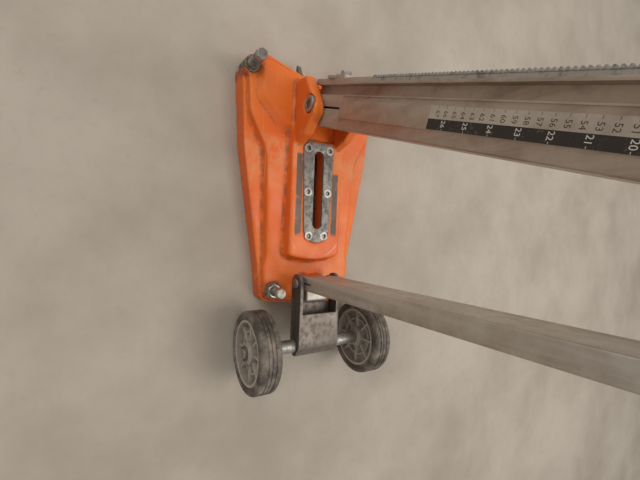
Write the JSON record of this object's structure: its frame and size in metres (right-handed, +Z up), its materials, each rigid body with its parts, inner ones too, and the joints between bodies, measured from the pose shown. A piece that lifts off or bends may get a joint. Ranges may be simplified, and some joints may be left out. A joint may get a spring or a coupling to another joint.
{
  "type": "core drill stand",
  "caption": "Wheeled drill stand: cast base with anchor slot and levelling screws, tilting toothed column on a rear stay, crank-fed carriage with a motor plate.",
  "frame": {"origin": "on the floor plane, straight below the axis of the column pivot, in the plane of symmetry of the base", "axes": "+X from the column towards the wheels, +Z up, +Y across the base from the crank side to the far side"},
  "size_m": [0.5276, 0.254, 1.1131],
  "materials": {
    "cast_orange": "satin",
    "bare_aluminium": "satin",
    "worn_steel": "satin",
    "zinc_steel": "satin",
    "dark_steel": "satin",
    "rim_plastic": "matte",
    "tyre_rubber": "matte",
    "black_plastic": "matte",
    "bronze": "satin",
    "scale_print": "matte",
    "carriage_paint": "satin"
  },
  "bodies": {
    "base": {"base_casting": "cast_orange", "slot_plate": "worn_steel", "slot_plate_screws": "zinc_steel", "levelling_screw_bushes": "dark_steel", "rear_lock_nuts": "zinc_steel", "rear_lock_washers": "zinc_steel", "column_pivot_bolt": "zinc_steel", "column_pivot_nut": "zinc_steel", "centre_pointer_pin": "zinc_steel", "wheel_bracket": "dark_steel", "wheel_bracket_pins": "zinc_steel", "stay_pin": "zinc_steel", "wheel_axle": "worn_steel", "axle_spacers": "dark_steel", "axle_clips": "zinc_steel"},
    "pointer": {"centre_pointer": "dark_steel"},
    "column": {"column_profile": "bare_aluminium", "column_foot_block": "worn_steel", "gear_rack": "worn_steel", "rack_screws": "dark_steel", "scale_strip": "scale_print", "end_stop": "bare_aluminium", "end_stop_screw": "zinc_steel", "column_front_step": "bare_aluminium", "column_top_cap": "black_plastic", "carry_handle": "zinc_steel"},
    "stay": {"stay_tube": "bare_aluminium", "stay_foot_bush": "bronze", "stay_head": "bare_aluminium"},
    "stay_clamp": {"stay_clamp": "bare_aluminium", "stay_clamp_studs": "zinc_steel", "stay_clamp_bolt": "zinc_steel"},
    "clamp_knob": {"stay_clamp_knob": "black_plastic"},
    "carriage": {"carriage_housing": "carriage_paint", "feed_shaft_bushes": "bronze", "guide_roller_bolts": "zinc_steel", "motor_plate": "bare_aluminium"},
    "feed_crank": {"feed_shaft": "worn_steel", "feed_shaft_collar": "zinc_steel", "crank_hub": "zinc_steel", "crank_spokes": "zinc_steel", "crank_grips": "black_plastic"},
    "lock_lever": {"carriage_lock_lever": "zinc_steel"},
    "guide_roller_lower_near": {"guide_roller_lower_near": "worn_steel"},
    "guide_roller_lower_far": {"guide_roller_lower_far": "worn_steel"},
    "guide_roller_upper_near": {"guide_roller_upper_near": "worn_steel"},
    "guide_roller_upper_far": {"guide_roller_upper_far": "worn_steel"},
    "levelling_screw_front_near": {"levelling_screw_front_near": "zinc_steel"},
    "levelling_screw_front_far": {"levelling_screw_front_far": "zinc_steel"},
    "levelling_screw_rear_near": {"levelling_screw_rear_near": "zinc_steel"},
    "levelling_screw_rear_far": {"levelling_screw_rear_far": "zinc_steel"},
    "wheel_near": {"wheel_rim_near": "rim_plastic", "tyre_near": "tyre_rubber"},
    "wheel_far": {"wheel_rim_far": "rim_plastic", "tyre_far": "tyre_rubber"}
  },
  "joints": [
    {"name": "column_tilt", "type": "hinge", "parent": "base", "child": "column", "pos_m": [0, 0, 0.0986], "axis": [0, 1, 0], "range_deg": [-17.04, 27.96]},
    {"name": "stay_swing", "type": "hinge", "parent": "base", "child": "stay", "pos_m": [0.2732, 0, 0.0652], "axis": [0, 1, 0], "range_deg": [-19.5, 31.68]},
    {"name": "stay_clamp_slide", "type": "slide", "parent": "column", "child": "stay_clamp", "axis": [0.293, 0, 0.9561], "range_m": [-0.08379, 0.13621]},
    {"name": "clamp_knob_turn", "type": "hinge", "parent": "stay_clamp", "child": "clamp_knob", "pos_m": [0.24706, 0, 0.77501], "axis": [0.9561, 0, -0.293], "continuous": true},
    {"name": "carriage_feed", "type": "slide", "parent": "column", "child": "carriage", "axis": [0.293, 0, 0.9561], "range_m": [-0.7, 0.02]},
    {"name": "feed_crank_turn", "type": "hinge", "parent": "carriage", "child": "feed_crank", "pos_m": [0.21031, 0, 0.95455], "axis": [0, 1, 0], "range_deg": [-5000, 5000]},
    {"name": "lock_lever_turn", "type": "hinge", "parent": "carriage", "child": "lock_lever", "pos_m": [0.28018, 0, 0.98543], "axis": [0, 1, 0], "range_deg": [-60, 35]},
    {"name": "guide_roller_lower_near_spin", "type": "hinge", "parent": "carriage", "child": "guide_roller_lower_near", "pos_m": [0.21865, -0.025, 0.89133], "axis": [0, 1, 0], "range_deg": [-6500, 6500]},
    {"name": "guide_roller_lower_far_spin", "type": "hinge", "parent": "carriage", "child": "guide_roller_lower_far", "pos_m": [0.21865, 0.025, 0.89133], "axis": [0, 1, 0], "range_deg": [-6500, 6500]},
    {"name": "guide_roller_upper_near_spin", "type": "hinge", "parent": "carriage", "child": "guide_roller_upper_near", "pos_m": [0.25264, -0.025, 1.00223], "axis": [0, 1, 0], "range_deg": [-6500, 6500]},
    {"name": "guide_roller_upper_far_spin", "type": "hinge", "parent": "carriage", "child": "guide_roller_upper_far", "pos_m": [0.25264, 0.025, 1.00223], "axis": [0, 1, 0], "range_deg": [-6500, 6500]},
    {"name": "levelling_screw_front_near_travel", "type": "slide", "parent": "base", "child": "levelling_screw_front_near", "axis": [0, 0, 1], "range_m": [-0.012, 0.012]},
    {"name": "levelling_screw_front_far_travel", "type": "slide", "parent": "base", "child": "levelling_screw_front_far", "axis": [0, 0, 1], "range_m": [-0.012, 0.012]},
    {"name": "levelling_screw_rear_near_travel", "type": "slide", "parent": "base", "child": "levelling_screw_rear_near", "axis": [0, 0, 1], "range_m": [-0.012, 0.012]},
    {"name": "levelling_screw_rear_far_travel", "type": "slide", "parent": "base", "child": "levelling_screw_rear_far", "axis": [0, 0, 1], "range_m": [-0.012, 0.012]},
    {"name": "wheel_near_spin", "type": "hinge", "parent": "base", "child": "wheel_near", "pos_m": [0.3747, -0.10055, 0.0625], "axis": [0, 1, 0], "continuous": true},
    {"name": "wheel_far_spin", "type": "hinge", "parent": "base", "child": "wheel_far", "pos_m": [0.3747, 0.10055, 0.0625], "axis": [0, 1, 0], "continuous": true},
    {"name": "pointer_swing", "type": "hinge", "parent": "base", "child": "pointer", "pos_m": [-0.066, -0.022, 0.024], "axis": [0, 1, 0], "range_deg": [-20, 40]}
  ],
  "couplings": [
    {"joint": "stay_swing", "follows": "column_tilt", "ratio": 1.115},
    {"joint": "stay_clamp_slide", "follows": "column_tilt", "m_per_rad": 0.27502},
    {"joint": "feed_crank_turn", "follows": "carriage_feed", "rad_per_m": 88.889},
    {"joint": "guide_roller_lower_near_spin", "follows": "carriage_feed", "rad_per_m": -151.52},
    {"joint": "guide_roller_lower_far_spin", "follows": "carriage_feed", "rad_per_m": -151.52},
    {"joint": "guide_roller_upper_near_spin", "follows": "carriage_feed", "rad_per_m": -151.52},
    {"joint": "guide_roller_upper_far_spin", "follows": "carriage_feed", "rad_per_m": -151.52}
  ]
}
